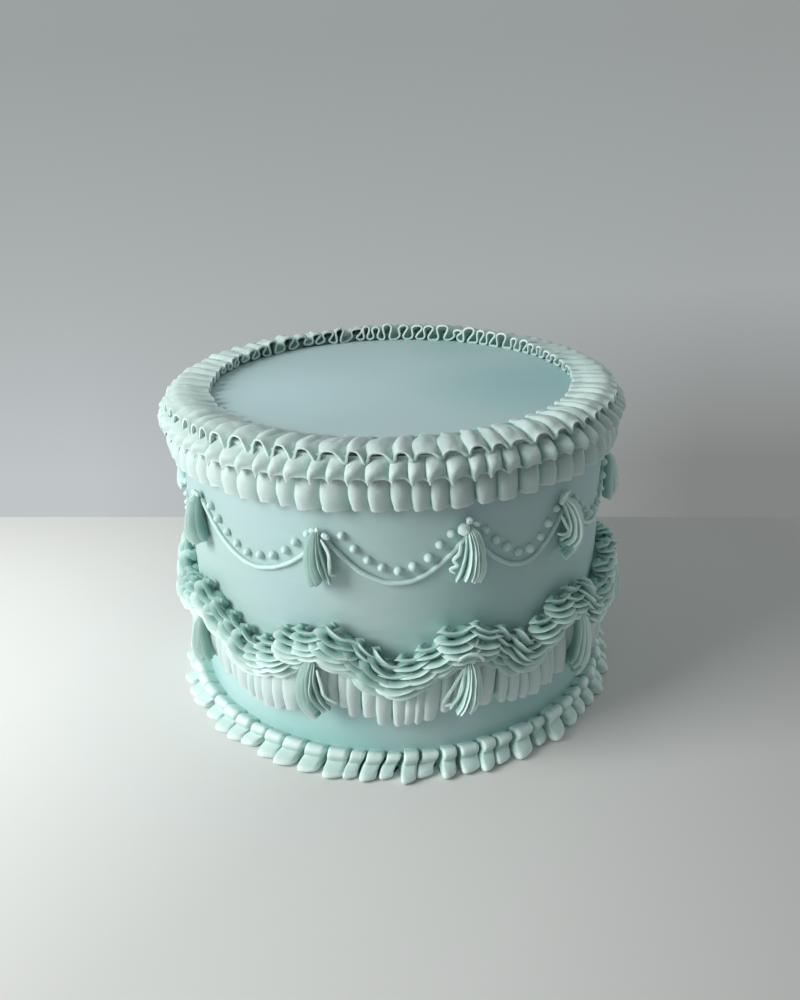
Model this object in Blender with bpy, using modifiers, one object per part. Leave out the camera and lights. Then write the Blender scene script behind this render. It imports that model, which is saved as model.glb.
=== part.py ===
"""A round vintage-piped buttercream cake.

A smooth cylinder of cake stands on z = 0 with its axis on the origin and its front towards -Y.
Three pleated ruffles ring the top edge. Below them hang string swags with a row of beads, a tassel
at each joint, then a garland of shells over a second ruffle with its own tassels, and a border of
two-lobed leaves runs round the foot. Lengths are metres, bearings are degrees from the front,
counted positive towards the right.
"""
import math
import random

import bmesh
import bpy
from mathutils import Vector

# Cake body
BODY_RADIUS = 0.0853
BODY_HEIGHT = 0.1235
RIM_EASE = 0.0016
BODY_SIDES = 60
GAP = 0.0004

# Where the swags are tied: bearing of each joint as it shows at the front, the rest evenly spaced
SEEN_JOINTS = (-54.5, -16.0, 16.5, 45.0, 79.0)
SWAGS = 10

# String swags and beads, which are part of the icing of the wall
STRING_TIE = 0.0940
STRING_LOW = 0.0773
STRING_RADIUS = 0.0008
STRING_STOP = 3.4
BEAD_RADIUS = 0.0016
BEAD_OFFSET = 0.0052
BEAD_PITCH = 0.0059
BEAD_STOP = 3.7

# Ruffles round the top edge
TOP_PLEATS = 72
UPPER_PLEATS = 85
LOWER_PLEATS = 82
TOP_INNER = 0.0722
TOP_OUTER = 0.0885
TOP_RISE_FRONT = 0.0018
TOP_RISE_BACK = 0.0075
TOP_LEAN = 2.5

# Garland of shells, and the ruffle below it
GARLAND_TIE = 0.0540
GARLAND_LOW = 0.0408
SHELL_PITCH = 0.0088
SHELL_DEPTH = 0.0100
SHELL_HALF = 0.0064
SKIRT_TIE = 0.0295
SKIRT_LOW = 0.0212
SKIRT_PLEAT = 0.0046
SKIRT_DEPTH = 0.0042

# Tassels
TASSEL_LENGTH = 0.0225
TASSEL_HALF = 0.0062
TASSEL_DEPTH = 0.0078
UPPER_TASSEL_TOP = 0.0970
# At the joints that show: how far each hem swings, and by how many degrees a lower one is off its joint
UPPER_SWINGS = (0.0015, 0.0022, 0.0013, 0.0030, 0.0010)
LOWER_SHIFTS = (0.0, -3.4, -1.6, 2.6, 0.0)
LOWER_SWINGS = (0.0005, 0.0006, -0.0021, -0.0044, 0.0010)
KNOT_CLEARANCE = 0.0008

# Border at the foot
LEAVES = 71
LEAF_REACH = 0.0107
LEAF_HEIGHT = 0.0088
LEAF_LEAN = 1.0

WALL = BODY_RADIUS + GAP
FLOOR = 0.0


def at(bearing, radius, height):
    """The point at a bearing, a distance from the axis and a height."""
    turn = math.radians(bearing)
    return Vector((radius * math.sin(turn), -radius * math.cos(turn), height))


def icing(name, red, green, blue, roughness):
    """A matt buttercream of one colour."""
    material = bpy.data.materials.new(name)
    material.use_nodes = True
    shader = material.node_tree.nodes["Principled BSDF"]
    shader.inputs["Base Color"].default_value = (red, green, blue, 1.0)
    shader.inputs["Roughness"].default_value = roughness
    shader.inputs["Metallic"].default_value = 0.0
    material.diffuse_color = (red, green, blue, 1.0)
    return material


def finish(piece, material):
    """Give a piece its icing, outward faces and a place in the cake's collection."""
    shape = bmesh.new()
    shape.from_mesh(piece.data)
    bmesh.ops.recalc_face_normals(shape, faces=shape.faces)
    shape.to_mesh(piece.data)
    shape.free()
    piece.data.materials.clear()
    piece.data.materials.append(material)
    for holder in list(piece.users_collection):
        holder.objects.unlink(piece)
    bpy.data.collections["cake_parts"].objects.link(piece)
    return piece


def ring(name, stations, corners, place, material):
    """A closed ring: a torus whose section corners are placed one by one."""
    bpy.ops.mesh.primitive_torus_add(major_segments=stations, minor_segments=corners)
    piece = bpy.context.object
    piece.name = name
    for vertex in piece.data.vertices:
        station, corner = divmod(vertex.index, corners)
        vertex.co = place(station, corner)
    return finish(piece, material)


def bar(name, stations, corners, place, material):
    """A closed bar: a cylinder cut into stations, its section corners placed one by one."""
    shape = bmesh.new()
    bmesh.ops.create_cone(shape, cap_ends=True, segments=corners, radius1=1.0, radius2=1.0, depth=1.0)
    lengthwise = [edge for edge in shape.edges if abs(edge.verts[0].co.z - edge.verts[1].co.z) > 0.5]
    if stations > 2:
        bmesh.ops.subdivide_edges(shape, edges=lengthwise, cuts=stations - 2, use_grid_fill=True)
    for vertex in shape.verts:
        station = round((vertex.co.z + 0.5) * (stations - 1))
        turn = math.atan2(vertex.co.y, vertex.co.x) % math.tau
        corner = round(turn / math.tau * corners) % corners
        vertex.co = place(station, corner)
    mesh = bpy.data.meshes.new(name)
    shape.to_mesh(mesh)
    shape.free()
    piece = bpy.data.objects.new(name, mesh)
    bpy.context.scene.collection.objects.link(piece)
    return finish(piece, material)


def uneven_steps(count, total, spread, seed):
    """Running positions of uneven pleats that add up to the total."""
    draw = random.Random(seed)
    widths = [1.0 + draw.uniform(-spread, spread) for _ in range(count)]
    scale = total / sum(widths)
    places = [0.0]
    for width in widths:
        places.append(places[-1] + width * scale)
    return places


def joints():
    """Bearings of the swag joints, closing the circle behind with even swags."""
    hidden = SWAGS - len(SEEN_JOINTS) + 1
    step = (360.0 + SEEN_JOINTS[0] - SEEN_JOINTS[-1]) / hidden
    rest = [SEEN_JOINTS[-1] + step * number for number in range(1, hidden)]
    return list(SEEN_JOINTS) + rest + [SEEN_JOINTS[0] + 360.0]


def hang(bearing, left, right, tie, low):
    """Height of the string at a bearing between its two joints."""
    share = abs(2.0 * bearing - left - right) / (right - left)
    return low + (tie - low) * share ** 1.9


def drape(bearing, left, right, tie, low):
    """Height of the garland at a bearing: a low middle and rounded ends."""
    share = min(abs(2.0 * bearing - left - right) / (right - left), 1.0)
    return low + (tie - low) * math.sin(math.pi / 2.0 * share ** 1.3)


def skirt_hem(bearing, left, right):
    """Height of the lower edge of the ruffle under the garland."""
    share = min(abs(2.0 * bearing - left - right) / (right - left), 1.0)
    return SKIRT_LOW + (SKIRT_TIE - SKIRT_LOW) * share ** 1.3


def body(material):
    """The iced cake: a turned outline with an eased rim."""
    outline = bpy.data.meshes.new("cake")
    shape = bmesh.new()
    points = ((0.0, BODY_HEIGHT), (BODY_RADIUS - RIM_EASE, BODY_HEIGHT),
              (BODY_RADIUS, BODY_HEIGHT - RIM_EASE), (BODY_RADIUS, FLOOR), (0.0, FLOOR))
    corners = [shape.verts.new((radius, 0.0, height)) for radius, height in points]
    for first, second in zip(corners, corners[1:]):
        shape.edges.new((first, second))
    shape.to_mesh(outline)
    shape.free()
    cake = bpy.data.objects.new("cake", outline)
    bpy.context.scene.collection.objects.link(cake)
    turned = cake.modifiers.new("turned", "SCREW")
    turned.steps = BODY_SIDES
    turned.render_steps = BODY_SIDES
    turned.use_merge_vertices = True
    turned.merge_threshold = 0.00001
    apply_modifiers(cake)
    return finish(cake, material)


def apply_modifiers(piece):
    """Keep a piece's evaluated shape as its own mesh."""
    seen = piece.evaluated_get(bpy.context.evaluated_depsgraph_get())
    shaped = bpy.data.meshes.new_from_object(seen)
    piece.modifiers.clear()
    piece.data = shaped


def string_swag(number, left, right, material):
    """A thin string piped from joint to joint, half sunk in the wall."""
    stations = 9
    start = left + STRING_STOP
    step = (right - left - 2.0 * STRING_STOP) / (stations - 1)

    def place(station, corner):
        bearing = start + step * station
        ahead = bearing + 0.1
        rise = hang(ahead, left, right, STRING_TIE, STRING_LOW) - hang(bearing, left, right,
                                                                      STRING_TIE, STRING_LOW)
        run = math.radians(0.1) * BODY_RADIUS
        across = math.hypot(rise, run)
        turn = math.tau * corner / 4.0
        out = BODY_RADIUS + STRING_RADIUS * 0.4 + STRING_RADIUS * math.cos(turn)
        aside = STRING_RADIUS * math.sin(turn)
        height = hang(bearing, left, right, STRING_TIE, STRING_LOW) + aside * run / across
        shift = math.degrees(-aside * rise / across / BODY_RADIUS)
        return at(bearing + shift, out, height)

    return bar("string_%d" % number, stations, 4, place, material)


def bead_places(left, right):
    """Bearing and height of each bead, a fixed distance above the string."""
    track = []
    steps = 240
    for number in range(steps + 1):
        bearing = left + (right - left) * number / steps
        height = hang(bearing, left, right, STRING_TIE, STRING_LOW)
        slope = hang(bearing + 0.05, left, right, STRING_TIE, STRING_LOW)
        slope -= hang(bearing - 0.05, left, right, STRING_TIE, STRING_LOW)
        slope /= math.radians(0.1) * BODY_RADIUS
        steep = math.hypot(1.0, slope)
        shift = math.degrees(-slope / steep * BEAD_OFFSET / BODY_RADIUS)
        place = (bearing + shift, height + BEAD_OFFSET / steep)
        if left + BEAD_STOP <= place[0] <= right - BEAD_STOP:
            track.append(place)
    lengths = [0.0]
    for first, second in zip(track, track[1:]):
        run = math.radians(second[0] - first[0]) * BODY_RADIUS
        lengths.append(lengths[-1] + math.hypot(run, second[1] - first[1]))
    count = round(lengths[-1] / BEAD_PITCH)
    beads = []
    for number in range(count + 1):
        goal = lengths[-1] * number / count
        nearest = min(range(len(track)), key=lambda index: abs(lengths[index] - goal))
        beads.append(track[nearest])
    return beads


def bead(name, bearing, height, size, material):
    """A small dome with a soft peak, its back sunk in the wall."""
    rings = ((-0.50, 1.1), (0.85, 0.6))

    def place(station, corner):
        out, wide = rings[station]
        turn = math.tau * corner / 4.0
        shift = math.degrees(wide * size * math.cos(turn) / BODY_RADIUS)
        return at(bearing + shift, BODY_RADIUS + out * size, height + wide * size * math.sin(turn))

    return bar(name, len(rings), 4, place, material)


def fuse(base, extras):
    """Join the extras to the base as one solid, then drop them."""
    group = bpy.data.collections.new("fused")
    bpy.context.scene.collection.children.link(group)
    for extra in extras:
        for holder in list(extra.users_collection):
            holder.objects.unlink(extra)
        group.objects.link(extra)
    union = base.modifiers.new("fused", "BOOLEAN")
    union.operation = "UNION"
    union.operand_type = "COLLECTION"
    union.collection = group
    union.solver = "EXACT"
    apply_modifiers(base)
    for extra in list(group.objects):
        bpy.data.objects.remove(extra)
    bpy.data.collections.remove(group)


def decorated_body(material):
    """The cake with its string swags and beads fused to the wall."""
    cake = body(material)
    extras = []
    draw = random.Random(11)
    ties = joints()
    for number, (left, right) in enumerate(zip(ties, ties[1:]), 1):
        extras.append(string_swag(number, left, right, material))
        for bearing, height in bead_places(left, right):
            size = BEAD_RADIUS * draw.uniform(0.9, 1.1)
            extras.append(bead("bead", bearing, height, size, material))
    fuse(cake, extras)
    return cake


def pleated_ring(name, pleats, phases, outline, spread, seed, material):
    """A ring of uneven pleats. Each phase of a pleat has its own outline of (radius, height, lean),
    which may change with the bearing."""
    starts = uneven_steps(pleats, 360.0, spread, seed)
    draw = random.Random(seed + 1)
    depths = [draw.uniform(0.8, 1.15) for _ in range(pleats)]
    corners = len(outline(0, 1.0, 0.0))

    def place(station, corner):
        pleat, phase = divmod(station, len(phases))
        bearing = starts[pleat] + (starts[pleat + 1] - starts[pleat]) * phases[phase]
        radius, height, lean = outline(phase, depths[pleat], bearing)[corner]
        return at(bearing + lean, radius, height)

    return ring(name, pleats * len(phases), corners, place, material)


def top_ruffle(material):
    """The ruffle that lies over the rim, wavy at its lip. Its folded inner edge lies almost flat at
    the front and stands up at the back."""
    waves = (1.0, 0.55, -1.0)
    folds = (0.9, -1.0, 0.1)

    def outline(phase, depth, bearing):
        wave = waves[phase] * depth
        fold = folds[phase] * depth
        behind = (0.5 - 0.5 * math.cos(math.radians(bearing))) ** 0.6
        rise = TOP_RISE_FRONT + (TOP_RISE_BACK - TOP_RISE_FRONT) * behind
        return ((TOP_OUTER + 0.0005 * wave, BODY_HEIGHT + 0.0004 + 0.0022 * wave, 0.0),
                (TOP_INNER + 0.0034 + 0.0008 * fold, BODY_HEIGHT + rise + 0.0007 * fold, TOP_LEAN),
                (TOP_INNER + 0.0011 * fold, BODY_HEIGHT + GAP, TOP_LEAN),
                (BODY_RADIUS + 0.0006, BODY_HEIGHT + GAP, 0.0))

    return pleated_ring("top_ruffle", TOP_PLEATS, (0.0, 0.42, 0.78), outline, 0.16, 21, material)


def side_ruffle_upper(material):
    """The ruffle under the rim: narrow folds stand out between hollow panels."""
    reach = (0.0068, 0.0046, 0.0042)
    drop = (0.0090, 0.0066, 0.0068)

    def outline(phase, depth, _bearing):
        edge = BODY_HEIGHT - drop[phase] - 0.0004 * depth
        return ((WALL + reach[phase] * (0.9 + 0.1 * depth), edge, 0.0),
                (WALL, BODY_HEIGHT - 0.0009, 0.0),
                (WALL, edge + 0.0016, 0.0))

    return pleated_ring("side_ruffle_upper", UPPER_PLEATS, (0.0, 0.26, 0.76), outline, 0.2, 31, material)


def side_ruffle_lower(material):
    """The lowest ruffle of the three: shingled pleats that hang close to the wall."""
    reach = (0.0050, 0.0024)
    drop = (0.0180, 0.0174)

    def outline(phase, depth, _bearing):
        edge = BODY_HEIGHT - drop[phase] - 0.0003 * depth
        return ((WALL + reach[phase] * (0.85 + 0.15 * depth), edge, 0.0),
                (WALL, BODY_HEIGHT - 0.0092, 0.0),
                (WALL, edge + 0.0014, 0.0))

    return pleated_ring("side_ruffle_lower", LOWER_PLEATS, (0.04, 0.92), outline, 0.2, 41, material)


def base_border(material):
    """The border at the foot: leaves of two lobes with a crease between them, their toes leaning back."""
    swell = (1.0, 0.72)

    def outline(phase, depth, _bearing):
        size = swell[phase] * (0.93 + 0.07 * depth)
        return ((WALL + LEAF_REACH * size, FLOOR, -LEAF_LEAN),
                (WALL + LEAF_REACH * 0.50 * size, LEAF_HEIGHT * 0.50 * size, -LEAF_LEAN / 2.0),
                (WALL + LEAF_REACH * 0.36 * size, LEAF_HEIGHT * size, 0.0),
                (WALL, LEAF_HEIGHT * 0.94 * size, 0.0),
                (WALL, FLOOR, 0.0))

    return pleated_ring("base_border", LEAVES, (0.1, 0.9), outline, 0.1, 51, material)


def shell_garland(number, left, right, material):
    """One swag of overlapping shells, each with a blunt head and a tapering tail."""
    margin = 0.25
    middle = drape((left + right) / 2.0, left, right, GARLAND_TIE, GARLAND_LOW)
    length = math.hypot(math.radians(right - left) * BODY_RADIUS, 2.6 * (GARLAND_TIE - middle))
    shells = max(3, round(length / SHELL_PITCH))
    places = uneven_steps(shells, right - left - 2.0 * margin, 0.12, 60 + number)
    phases = (0.06, 0.84)
    sizes = (1.0, 0.64)
    section = ((0.0, -0.72), (0.52, -1.0), (0.74, -0.42), (1.0, 0.02), (0.78, 0.55), (0.50, 1.0), (0.0, 0.80))
    stations = shells * len(phases) + 1

    def place(station, corner):
        if station == stations - 1:
            along = places[-1]
            size = 0.6
        else:
            shell, phase = divmod(station, len(phases))
            along = places[shell] + (places[shell + 1] - places[shell]) * phases[phase]
            size = sizes[phase]
        bearing = left + margin + along
        out, up = section[corner]
        height = drape(bearing, left, right, GARLAND_TIE, GARLAND_LOW)
        return at(bearing, WALL + SHELL_DEPTH * out * size, height + SHELL_HALF * up * size)

    return bar("shell_garland_%02d" % number, stations, len(section), place, material)


def garland_ruffle(number, left, right, material):
    """The pale ruffle that hangs below one swag of the garland."""
    margin = 0.2
    pleats = round(math.radians(right - left) * BODY_RADIUS / SKIRT_PLEAT)
    places = uneven_steps(pleats, right - left - 2.0 * margin, 0.15, 80 + number)
    phases = (0.0, 0.72)
    reach = (1.0, 0.68)
    stations = pleats * len(phases) + 1

    def place(station, corner):
        pleat, phase = divmod(station, len(phases))
        if pleat == pleats:
            along = places[-1]
        else:
            along = places[pleat] + (places[pleat + 1] - places[pleat]) * phases[phase]
        bearing = left + margin + along
        hem = skirt_hem(bearing, left, right)
        top = drape(bearing, left, right, GARLAND_TIE, GARLAND_LOW) - SHELL_HALF * 0.76
        corners = ((SKIRT_DEPTH * reach[phase], hem), (0.0, top), (0.0, hem + 0.0012))
        out, height = corners[corner]
        return at(bearing, WALL + out, height)

    return bar("garland_ruffle_%02d" % number, stations, 3, place, material)


def tassel(name, bearing, top, back, swing, material):
    """A tassel of ridged strands, narrow at its knot and fanned at its hem."""
    rows = ((0.0, 0.18, 0.34), (0.30, 0.56, 0.82), (0.84, 1.0, 1.0), (1.0, 0.70, 0.45))
    section = ((0.0, -0.86), (0.66, -1.0), (0.58, -0.40), (1.0, 0.0), (0.58, 0.40), (0.66, 1.0), (0.0, 0.86))

    def place(station, corner):
        down, wide, deep = rows[station]
        out, aside = section[corner]
        shift = aside * wide * TASSEL_HALF + swing * down ** 2
        height = top - TASSEL_LENGTH * down
        radius = back + out * deep * TASSEL_DEPTH
        return at(bearing + math.degrees(shift / BODY_RADIUS), radius, height)

    return bar(name, len(rows), len(section), place, material)


def seen_or(values, number, other):
    """The value of a joint that shows at the front, or the other one for a joint behind."""
    return values[number - 1] if number <= len(values) else other


def tassels(number, ties, draw, material):
    """The tassel under a joint of the strings, and the one that hangs below the garland near it."""
    bearing = ties[number - 1]
    swing = seen_or(UPPER_SWINGS, number, draw.uniform(-0.002, 0.002))
    tassel("upper_tassel_%02d" % number, bearing, UPPER_TASSEL_TOP, WALL + 0.0001, swing, material)
    shift = seen_or(LOWER_SHIFTS, number, 0.0)
    swing = seen_or(LOWER_SWINGS, number, draw.uniform(-0.002, 0.002))
    if shift < 0.0:
        left, right = ties[number - 2], bearing
    else:
        left, right = bearing, ties[number]
    bearing += shift
    shells = drape(bearing, left, right, GARLAND_TIE, GARLAND_LOW)
    knot = shells - SHELL_HALF - KNOT_CLEARANCE
    back = WALL + SKIRT_DEPTH + GAP * 1.5
    tassel("lower_tassel_%02d" % number, bearing, knot, back, swing, material)


def build():
    """Make every piece of the cake."""
    for old in list(bpy.data.objects):
        bpy.data.objects.remove(old)
    group = bpy.data.collections.new("cake_parts")
    bpy.context.scene.collection.children.link(group)

    sage = icing("sage_icing", 0.47, 0.65, 0.61, 0.55)
    pale = icing("pale_icing", 0.62, 0.76, 0.71, 0.5)
    grey = icing("grey_mint_icing", 0.60, 0.69, 0.68, 0.5)
    mint = icing("mint_icing", 0.40, 0.66, 0.56, 0.5)

    decorated_body(sage)
    top_ruffle(pale)
    side_ruffle_upper(pale)
    side_ruffle_lower(pale)
    base_border(mint)

    draw = random.Random(5)
    ties = joints()
    for number, (left, right) in enumerate(zip(ties, ties[1:]), 1):
        shell_garland(number, left, right, mint)
        garland_ruffle(number, left, right, grey)
        tassels(number, ties, draw, mint)


build()
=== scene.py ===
import math
import random

import bpy
from mathutils import Matrix, Vector, noise


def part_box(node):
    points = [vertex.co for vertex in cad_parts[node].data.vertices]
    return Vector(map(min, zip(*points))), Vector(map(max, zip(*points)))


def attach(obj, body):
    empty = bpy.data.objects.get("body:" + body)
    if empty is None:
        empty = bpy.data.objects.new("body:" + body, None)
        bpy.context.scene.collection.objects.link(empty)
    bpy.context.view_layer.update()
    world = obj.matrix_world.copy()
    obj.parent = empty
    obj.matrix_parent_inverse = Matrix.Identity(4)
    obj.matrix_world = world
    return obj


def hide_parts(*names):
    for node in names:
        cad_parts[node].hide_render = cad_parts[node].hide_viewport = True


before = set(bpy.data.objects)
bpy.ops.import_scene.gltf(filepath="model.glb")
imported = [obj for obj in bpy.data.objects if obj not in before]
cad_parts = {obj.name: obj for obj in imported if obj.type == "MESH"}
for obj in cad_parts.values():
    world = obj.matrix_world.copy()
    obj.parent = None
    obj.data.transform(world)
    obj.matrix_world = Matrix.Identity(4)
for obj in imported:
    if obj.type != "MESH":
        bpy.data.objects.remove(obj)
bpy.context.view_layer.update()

# the iced cake that everything is piped on, and where the swags are tied, in degrees from the front
cake = {
    "radius": 0.0853,
    "height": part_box("side_ruffle_upper")[1].z + 0.0009,
    "rimEase": 0.0016,
    "seenTies": (-54.5, -16.0, 16.5, 45.0, 79.0),
    "swags": 10,
}
wall = cake["radius"]
cakeTop = cake["height"]


def spot(bearing, radius, height):
    # bearing in degrees from the front, positive to the right
    turn = math.radians(bearing)
    return Vector((radius * math.sin(turn), -radius * math.cos(turn), height))


def tieBearings():
    # the ties that show, then even swags round the back
    seen = list(cake["seenTies"])
    hidden = cake["swags"] - len(seen) + 1
    step = (360.0 + seen[0] - seen[-1]) / hidden
    return seen + [seen[-1] + step * number for number in range(1, hidden)] + [seen[0] + 360.0]


def fromMiddle(bearing, left, right):
    # 0 in the middle of a swag, 1 at its ties
    return abs(2.0 * bearing - left - right) / (right - left)


def backShare(bearing):
    # 0 at the front of the cake, 1 at the back
    return (0.5 - 0.5 * math.cos(math.radians(bearing))) ** 0.6


def leftShare(bearing):
    # 1 at the left of the front, fading to both sides
    return math.exp(-((bearing - 322.0) / 30.0) ** 2)


def turnBy(degrees, axis):
    return Matrix.Rotation(math.radians(degrees), 4, axis)


def blendOf(share, low, high):
    return low + (high - low) * share


def mixed(share, first, second):
    return [blendOf(share, low, high) for low, high in zip(first, second)]


def wobble(x, y, z):
    # smooth unevenness between about -1 and 1
    return noise.noise(Vector((x, y, z)))


def softStep(value, start, end):
    share = min(max((value - start) / (end - start), 0.0), 1.0)
    return share * share * (3.0 - 2.0 * share)


def unevenSteps(count, total, spread, seed):
    draw = random.Random(seed)
    widths = [1.0 + draw.uniform(-spread, spread) for _ in range(count)]
    scale = total / sum(widths)
    places = [0.0]
    for width in widths:
        places.append(places[-1] + width * scale)
    return places


# modelling helpers

def onlySelect(piece):
    bpy.ops.object.select_all(action="DESELECT")
    piece.select_set(True)
    bpy.context.view_layer.objects.active = piece


def addPrimitive(name, operator, **settings):
    bpy.ops.object.select_all(action="DESELECT")
    operator(**settings)
    bpy.context.object.name = name
    return bpy.context.object


def addGrid(name, columns, rows):
    return addPrimitive(name, bpy.ops.mesh.primitive_grid_add, x_subdivisions=columns, y_subdivisions=rows,
                        size=1.0)


def addBall(name, radius):
    return addPrimitive(name, bpy.ops.mesh.primitive_uv_sphere_add, segments=20, ring_count=12,
                        radius=radius)


def editAll(piece, operator, **settings):
    # one operator of edit mode on the whole mesh
    onlySelect(piece)
    bpy.ops.object.mode_set(mode="EDIT")
    bpy.ops.mesh.select_all(action="SELECT")
    operator(**settings)
    bpy.ops.object.mode_set(mode="OBJECT")


def weld(piece):
    editAll(piece, bpy.ops.mesh.remove_doubles, threshold=0.00002)


def makeConsistent(piece):
    editAll(piece, bpy.ops.mesh.normals_make_consistent, inside=False)


def pickEdges(piece, wanted):
    # leaves the mesh in edit mode with just these edges selected
    bpy.ops.object.mode_set(mode="EDIT")
    bpy.ops.mesh.select_mode(type="EDGE")
    bpy.ops.mesh.select_all(action="DESELECT")
    bpy.ops.object.mode_set(mode="OBJECT")
    for edge in piece.data.edges:
        edge.select = wanted(edge)
    bpy.ops.object.mode_set(mode="EDIT")


def useModifier(piece, kind, **settings):
    onlySelect(piece)
    modifier = piece.modifiers.new(kind.lower(), kind)
    for name, value in settings.items():
        setattr(modifier, name, value)
    bpy.ops.object.modifier_apply(modifier=modifier.name)


def addObject(name, data):
    piece = bpy.data.objects.new(name, data)
    bpy.context.scene.collection.objects.link(piece)
    return piece


def copyOf(piece):
    return addObject(piece.name, piece.data.copy())


def joinAll(name, pieces):
    bpy.ops.object.select_all(action="DESELECT")
    for piece in pieces:
        piece.select_set(True)
    bpy.context.view_layer.objects.active = pieces[0]
    if len(pieces) > 1:
        bpy.ops.object.join()
    pieces[0].name = name
    pieces[0].data.name = name
    return pieces[0]


def paintLightLevels(piece, values):
    # how much painted light each point gets: high for a painted highlight where it stands out as a ridge,
    # low for painted shade in grooves; read by the icing's material
    attribute = piece.data.attributes.new("paintedLight", "FLOAT", "POINT")
    attribute.data.foreach_set("value", values)


def dress(piece, material, slotName, *nodes):
    piece.data.materials.clear()
    piece.data.materials.append(material)
    onlySelect(piece)
    bpy.ops.object.shade_smooth_by_angle(angle=math.radians(50.0))
    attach(piece, "root")
    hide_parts(*nodes)
    return piece


# material helpers

def newMaterial(name):
    material = bpy.data.materials.new(name)
    material.use_nodes = True
    return material, material.node_tree, material.node_tree.nodes["Principled BSDF"]


def setInputs(tree, node, inputs):
    # each input takes a fixed value or the output of another node
    for name, value in inputs.items():
        if isinstance(value, bpy.types.NodeSocket):
            tree.links.new(value, node.inputs[name])
        else:
            node.inputs[name].default_value = value


def addNode(tree, kind, output, inputs, **settings):
    node = tree.nodes.new("ShaderNode" + kind)
    for name, value in settings.items():
        setattr(node, name, value)
    setInputs(tree, node, inputs)
    return node.outputs[output]


def addRamp(tree, level, stops):
    # stops are places and colours from low to high, the first at 0
    node = tree.nodes.new("ShaderNodeValToRGB")
    marks = node.color_ramp.elements
    marks.remove(marks[1])
    for number, (place, colour) in enumerate(stops):
        mark = marks.new(place) if number else marks[0]
        mark.color = (*colour, 1.0)
    tree.links.new(level, node.inputs["Fac"])
    return node.outputs["Color"]


# icing materials

pipedLook = {
    "cloudScale": 45.0,
    "cloudShare": 0.30,
    "lumpScale": 900.0,
    "bump": 0.35,
    "bumpDepth": 0.0004,
    "roughness": (0.40, 0.60),
    "specular": 0.35,
    "subsurface": 0.08,
}
coatLook = {
    "cloudScale": 14.0,
    "cloudShare": 0.9,
    "dragScale": (60.0, 60.0, 420.0),    # marks of the scraper, long along the wall
    "bump": 0.3,
    "bumpDepth": 0.0005,
    "roughness": (0.42, 0.6),
    "specular": 0.35,
    "subsurface": 0.1,
    "upward": ((0.0, (0.38, 0.63, 0.61)), (0.55, (0.43, 0.61, 0.60)), (1.0, (0.44, 0.60, 0.60))),
}
# centre in metres, radius, colour and strength of the patches of the coat; most are painted light and shade:
# the paler left of the top and low left of the wall are painted light, the darker right of the top is
# painted shade where it reflects less, and the darker patch on the left of the wall tones the light down
# there; the rest shift the coat's tone round a point
coatLightAndTintPatches = (
    ((0.000, 0.000, 0.125), 0.086, (0.49, 0.665, 0.67), 0.8),
    ((-0.066, -0.054, 0.080), 0.055, (0.395, 0.54, 0.53), 0.8),
    ((0.058, -0.010, 0.124), 0.058, (0.31, 0.54, 0.55), 0.85),
    ((0.030, 0.050, 0.124), 0.030, (0.36, 0.58, 0.58), 0.6),
    ((-0.045, -0.010, 0.124), 0.050, (0.52, 0.71, 0.74), 0.9),
    ((0.000, -0.060, 0.124), 0.030, (0.47, 0.62, 0.64), 0.6),
    ((-0.066, -0.056, 0.010), 0.030, (0.50, 0.72, 0.71), 0.7),
    ((0.010, -0.086, 0.008), 0.030, (0.46, 0.63, 0.63), 0.9),
    ((0.028, -0.080, 0.066), 0.028, (0.38, 0.58, 0.57), 0.6),
    ((-0.012, -0.085, 0.072), 0.022, (0.47, 0.61, 0.60), 0.6),
)


def finishIcing(tree, shader, colour, relief, look):
    # the colour, the fine relief and the soft sheen of beaten butter
    normal = addNode(tree, "Bump", "Normal",
                     {"Height": relief, "Strength": look["bump"], "Distance": look["bumpDepth"]})
    gloss = addNode(tree, "MapRange", "Result",
                    {"Value": relief, "To Min": look["roughness"][0], "To Max": look["roughness"][1]})
    setInputs(tree, shader, {
        "Base Color": colour,
        "Normal": normal,
        "Roughness": gloss,
        "Specular IOR Level": look["specular"],
        "Subsurface Weight": look["subsurface"],
        "Subsurface Radius": (0.0016, 0.0022, 0.0019),
        "Subsurface Scale": 1.0,
    })


def drifted(tree, clouds, share, base):
    # a level that slow clouds push up and down by half of share
    drift = addNode(tree, "Math", "Value", {0: clouds, 1: share, 2: -share * 0.5}, operation="MULTIPLY_ADD")
    return addNode(tree, "Math", "Value", {0: base, 1: drift}, operation="ADD", use_clamp=True)


def icing(name, deep, middle, light):
    # deep is painted shade that sits in the grooves, light a painted highlight on the ridges; clouds drift
    # slowly between the three
    material, tree, shader = newMaterial(name)
    place = addNode(tree, "TexCoord", "Object", {})
    clouds = addNode(tree, "TexNoise", "Fac",
                     {"Vector": place, "Scale": pipedLook["cloudScale"], "Detail": 3.0})
    paintedLight = addNode(tree, "Attribute", "Fac", {}, attribute_name="paintedLight")
    level = drifted(tree, clouds, pipedLook["cloudShare"], paintedLight)
    colour = addRamp(tree, level, ((0.0, deep), (0.5, middle), (1.0, light)))
    lumps = addNode(tree, "TexNoise", "Fac",
                    {"Vector": place, "Scale": pipedLook["lumpScale"], "Detail": 5.0, "Roughness": 0.62})
    finishIcing(tree, shader, colour, lumps, pipedLook)
    return material


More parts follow.
